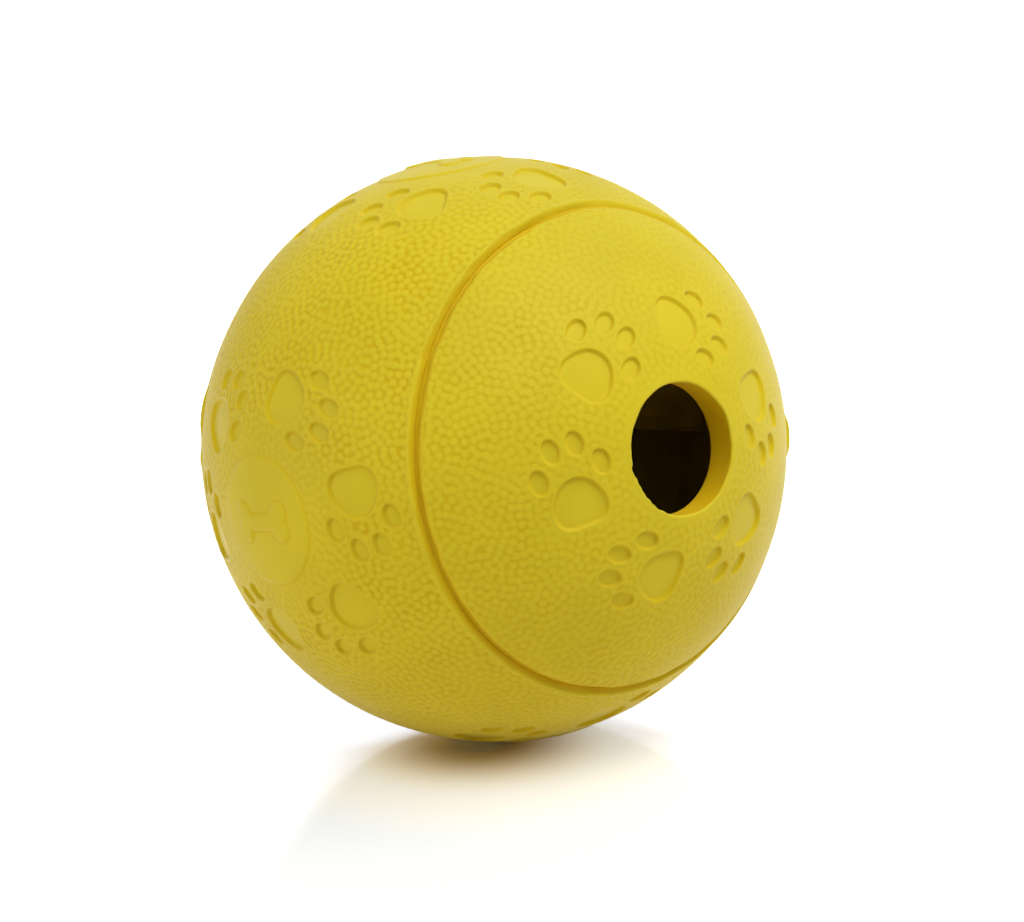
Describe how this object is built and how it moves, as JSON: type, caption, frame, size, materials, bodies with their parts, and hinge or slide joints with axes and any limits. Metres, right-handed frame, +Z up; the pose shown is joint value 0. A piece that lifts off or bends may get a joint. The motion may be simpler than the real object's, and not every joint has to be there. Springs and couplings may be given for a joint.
{
  "type": "treat dispensing ball",
  "caption": "Hollow rubber treat ball with one round treat hole, an inner wall that slows the treats, bonded seams, pebbled skin and recessed paw prints.",
  "frame": {"origin": "the ball's centre", "axes": "+Z is up from the floor that the ball lies on, and +X is the way the treat hole looks, seen from above; the hole's axis rises 10 degrees above +X"},
  "size_m": [0.09, 0.0908, 0.0908],
  "materials": {
    "natural_rubber": "yellow moulded rubber with a pebbled skin and a soft sheen",
    "inner_rubber": "the same rubber, smooth and unpolished"
  },
  "bodies": {
    "root": {"front_cap": "natural_rubber", "middle_band": "natural_rubber", "rear_cap": "natural_rubber", "inner_wall": "inner_rubber"}
  },
  "joints": []
}
